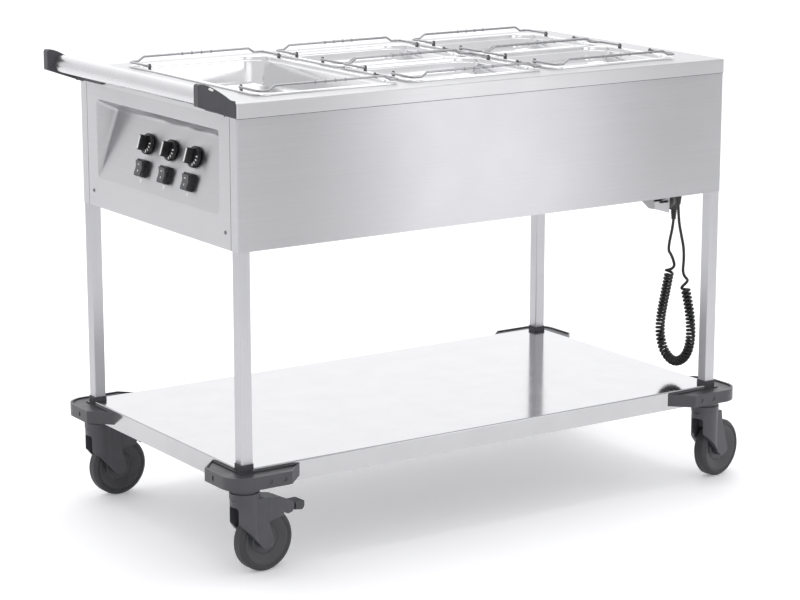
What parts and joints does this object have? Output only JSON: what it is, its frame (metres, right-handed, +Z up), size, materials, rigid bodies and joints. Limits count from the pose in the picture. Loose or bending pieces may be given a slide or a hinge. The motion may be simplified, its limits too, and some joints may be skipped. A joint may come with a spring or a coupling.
{
  "type": "heated food serving trolley",
  "caption": "Mobile heated serving trolley: sunk wells with lift-out food pans, sloping end control panel, push handle, lower shelf, corner bumpers and swivel castors.",
  "frame": {"origin": "on the floor under the middle of the deck", "axes": "+X along the trolley away from the push handle, +Y to the rear side, +Z up"},
  "size_m": [1.3569, 0.7224, 0.9625],
  "materials": {
    "brushed_sheet": "brushed stainless sheet",
    "leg_tube": "satin stainless square tube",
    "handle_tube": "brushed stainless tube",
    "pan_steel": "drawn stainless, satin inside",
    "bail_wire": "polished stainless wire",
    "screw_steel": "bright stainless screw",
    "zinc_plate": "zinc plated steel",
    "heater_casing": "plain aluminium",
    "thermostat_casing": "moulded casing",
    "dark_grey_plastic": "fine grained moulded plastic",
    "castor_grey_plastic": "satin grey plastic",
    "wheel_grey_plastic": "satin grey plastic",
    "tyre_rubber": "non-marking grey rubber",
    "pedal_plastic": "dark moulded plastic",
    "black_plastic": "black moulded plastic",
    "plug_rubber": "black moulded rubber",
    "cord_sheath": "black flexible sheath"
  },
  "bodies": {
    "frame": {"top_deck": "brushed_sheet", "housing_shell": "brushed_sheet", "control_panel": "brushed_sheet", "base_panel": "brushed_sheet", "legs": "leg_tube", "lower_shelf": "brushed_sheet", "wells": "brushed_sheet", "heater_plates": "heater_casing", "thermostats": "thermostat_casing", "switch_frames": "black_plastic", "panel_screws": "screw_steel", "handle_bar": "handle_tube", "castor_stems": "zinc_plate", "parking_bracket": "brushed_sheet", "cable_gland": "black_plastic", "mains_plug": "plug_rubber", "handle_bracket_front": "dark_grey_plastic", "handle_bracket_rear": "dark_grey_plastic", "cord_coil": "cord_sheath", "cord_plug_lead": "cord_sheath", "cord_gland_lead": "cord_sheath", "bumper_front_left": "dark_grey_plastic", "bumper_front_right": "dark_grey_plastic", "bumper_rear_left": "dark_grey_plastic", "bumper_rear_right": "dark_grey_plastic"},
    "castor_front_left": {"castor_fork_front_left": "castor_grey_plastic"},
    "wheel_front_left": {"tyre_front_left": "tyre_rubber", "wheel_core_front_left": "wheel_grey_plastic"},
    "pedal_front_left": {"brake_pedal_front_left": "pedal_plastic"},
    "castor_front_right": {"castor_fork_front_right": "castor_grey_plastic"},
    "wheel_front_right": {"tyre_front_right": "tyre_rubber", "wheel_core_front_right": "wheel_grey_plastic"},
    "castor_rear_left": {"castor_fork_rear_left": "castor_grey_plastic"},
    "wheel_rear_left": {"tyre_rear_left": "tyre_rubber", "wheel_core_rear_left": "wheel_grey_plastic"},
    "pedal_rear_left": {"brake_pedal_rear_left": "pedal_plastic"},
    "castor_rear_right": {"castor_fork_rear_right": "castor_grey_plastic"},
    "wheel_rear_right": {"tyre_rear_right": "tyre_rubber", "wheel_core_rear_right": "wheel_grey_plastic"},
    "knob_left": {"knob_left": "black_plastic"},
    "rocker_left": {"rocker_left": "black_plastic"},
    "knob_middle": {"knob_middle": "black_plastic"},
    "rocker_middle": {"rocker_middle": "black_plastic"},
    "knob_right": {"knob_right": "black_plastic"},
    "rocker_right": {"rocker_right": "black_plastic"},
    "pan_left": {"pan_left": "pan_steel"},
    "bail_left_front": {"bail_left_front": "bail_wire"},
    "bail_left_rear": {"bail_left_rear": "bail_wire"},
    "pan_middle_front": {"pan_middle_front": "pan_steel"},
    "bail_middle_front_front": {"bail_middle_front_front": "bail_wire"},
    "bail_middle_front_rear": {"bail_middle_front_rear": "bail_wire"},
    "pan_middle_rear": {"pan_middle_rear": "pan_steel"},
    "bail_middle_rear_front": {"bail_middle_rear_front": "bail_wire"},
    "bail_middle_rear_rear": {"bail_middle_rear_rear": "bail_wire"},
    "pan_right_front": {"pan_right_front": "pan_steel"},
    "bail_right_front_front": {"bail_right_front_front": "bail_wire"},
    "bail_right_front_rear": {"bail_right_front_rear": "bail_wire"},
    "pan_right_rear": {"pan_right_rear": "pan_steel"},
    "bail_right_rear_front": {"bail_right_rear_front": "bail_wire"},
    "bail_right_rear_rear": {"bail_right_rear_rear": "bail_wire"}
  },
  "joints": [
    {"name": "swivel_front_left", "type": "hinge", "parent": "frame", "child": "castor_front_left", "pos_m": [-0.5787, -0.3057, 0.147], "axis": [0, 0, 1], "continuous": true},
    {"name": "spin_front_left", "type": "hinge", "parent": "castor_front_left", "child": "wheel_front_left", "pos_m": [-0.53686, -0.30204, 0.0625], "axis": [-0.0872, 0.9962, 0], "continuous": true},
    {"name": "brake_front_left", "type": "hinge", "parent": "castor_front_left", "child": "pedal_front_left", "pos_m": [-0.47908, -0.29698, 0.118], "axis": [-0.0872, 0.9962, 0], "range_deg": [0, 15]},
    {"name": "swivel_front_right", "type": "hinge", "parent": "frame", "child": "castor_front_right", "pos_m": [0.5787, -0.3057, 0.147], "axis": [0, 0, 1], "continuous": true},
    {"name": "spin_front_right", "type": "hinge", "parent": "castor_front_right", "child": "wheel_front_right", "pos_m": [0.61978, -0.29697, 0.0625], "axis": [-0.2079, 0.9781, 0], "continuous": true},
    {"name": "swivel_rear_left", "type": "hinge", "parent": "frame", "child": "castor_rear_left", "pos_m": [-0.5787, 0.3057, 0.147], "axis": [0, 0, 1], "continuous": true},
    {"name": "spin_rear_left", "type": "hinge", "parent": "castor_rear_left", "child": "wheel_rear_left", "pos_m": [-0.53671, 0.30643, 0.0625], "axis": [-0.0175, 0.9998, 0], "continuous": true},
    {"name": "brake_rear_left", "type": "hinge", "parent": "castor_rear_left", "child": "pedal_rear_left", "pos_m": [-0.47872, 0.30745, 0.118], "axis": [-0.0175, 0.9998, 0], "range_deg": [0, 15]},
    {"name": "swivel_rear_right", "type": "hinge", "parent": "frame", "child": "castor_rear_right", "pos_m": [0.5787, 0.3057, 0.147], "axis": [0, 0, 1], "continuous": true},
    {"name": "spin_rear_right", "type": "hinge", "parent": "castor_rear_right", "child": "wheel_rear_right", "pos_m": [0.62029, 0.31155, 0.0625], "axis": [-0.1392, 0.9903, 0], "continuous": true},
    {"name": "turn_knob_left", "type": "hinge", "parent": "frame", "child": "knob_left", "pos_m": [-0.57495, 0.075, 0.79194], "axis": [0.9584, 0, -0.2855], "range_deg": [0, 270]},
    {"name": "press_rocker_left", "type": "hinge", "parent": "frame", "child": "rocker_left", "pos_m": [-0.58922, 0.075, 0.74402], "axis": [0, 1, 0], "range_deg": [0, 10]},
    {"name": "turn_knob_middle", "type": "hinge", "parent": "frame", "child": "knob_middle", "pos_m": [-0.57495, -0.02, 0.79194], "axis": [0.9584, 0, -0.2855], "range_deg": [0, 270]},
    {"name": "press_rocker_middle", "type": "hinge", "parent": "frame", "child": "rocker_middle", "pos_m": [-0.58922, -0.02, 0.74402], "axis": [0, 1, 0], "range_deg": [0, 10]},
    {"name": "turn_knob_right", "type": "hinge", "parent": "frame", "child": "knob_right", "pos_m": [-0.57495, -0.115, 0.79194], "axis": [0.9584, 0, -0.2855], "range_deg": [0, 270]},
    {"name": "press_rocker_right", "type": "hinge", "parent": "frame", "child": "rocker_right", "pos_m": [-0.58922, -0.115, 0.74402], "axis": [0, 1, 0], "range_deg": [0, 10]},
    {"name": "lift_pan_left", "type": "slide", "parent": "frame", "child": "pan_left", "axis": [0, 0, 1], "range_m": [0, 0.2]},
    {"name": "swing_bail_left_front", "type": "hinge", "parent": "pan_left", "child": "bail_left_front", "pos_m": [-0.35, -0.184, 0.93], "axis": [-1, 0, 0], "range_deg": [0, 95]},
    {"name": "swing_bail_left_rear", "type": "hinge", "parent": "pan_left", "child": "bail_left_rear", "pos_m": [-0.35, 0.184, 0.93], "axis": [1, 0, 0], "range_deg": [0, 95]},
    {"name": "lift_pan_middle_front", "type": "slide", "parent": "frame", "child": "pan_middle_front", "axis": [0, 0, 1], "range_m": [0, 0.2]},
    {"name": "swing_bail_middle_front_front", "type": "hinge", "parent": "pan_middle_front", "child": "bail_middle_front_front", "pos_m": [0, -0.1837, 0.93], "axis": [-1, 0, 0], "range_deg": [0, 95]},
    {"name": "swing_bail_middle_front_rear", "type": "hinge", "parent": "pan_middle_front", "child": "bail_middle_front_rear", "pos_m": [0, -0.0813, 0.93], "axis": [1, 0, 0], "range_deg": [0, 95]},
    {"name": "lift_pan_middle_rear", "type": "slide", "parent": "frame", "child": "pan_middle_rear", "axis": [0, 0, 1], "range_m": [0, 0.2]},
    {"name": "swing_bail_middle_rear_front", "type": "hinge", "parent": "pan_middle_rear", "child": "bail_middle_rear_front", "pos_m": [0, 0.0813, 0.93], "axis": [-1, 0, 0], "range_deg": [0, 95]},
    {"name": "swing_bail_middle_rear_rear", "type": "hinge", "parent": "pan_middle_rear", "child": "bail_middle_rear_rear", "pos_m": [0, 0.1837, 0.93], "axis": [1, 0, 0], "range_deg": [0, 95]},
    {"name": "lift_pan_right_front", "type": "slide", "parent": "frame", "child": "pan_right_front", "axis": [0, 0, 1], "range_m": [0, 0.2]},
    {"name": "swing_bail_right_front_front", "type": "hinge", "parent": "pan_right_front", "child": "bail_right_front_front", "pos_m": [0.35, -0.1837, 0.93], "axis": [-1, 0, 0], "range_deg": [0, 95]},
    {"name": "swing_bail_right_front_rear", "type": "hinge", "parent": "pan_right_front", "child": "bail_right_front_rear", "pos_m": [0.35, -0.0813, 0.93], "axis": [1, 0, 0], "range_deg": [0, 95]},
    {"name": "lift_pan_right_rear", "type": "slide", "parent": "frame", "child": "pan_right_rear", "axis": [0, 0, 1], "range_m": [0, 0.2]},
    {"name": "swing_bail_right_rear_front", "type": "hinge", "parent": "pan_right_rear", "child": "bail_right_rear_front", "pos_m": [0.35, 0.0813, 0.93], "axis": [-1, 0, 0], "range_deg": [0, 95]},
    {"name": "swing_bail_right_rear_rear", "type": "hinge", "parent": "pan_right_rear", "child": "bail_right_rear_rear", "pos_m": [0.35, 0.1837, 0.93], "axis": [1, 0, 0], "range_deg": [0, 95]}
  ]
}
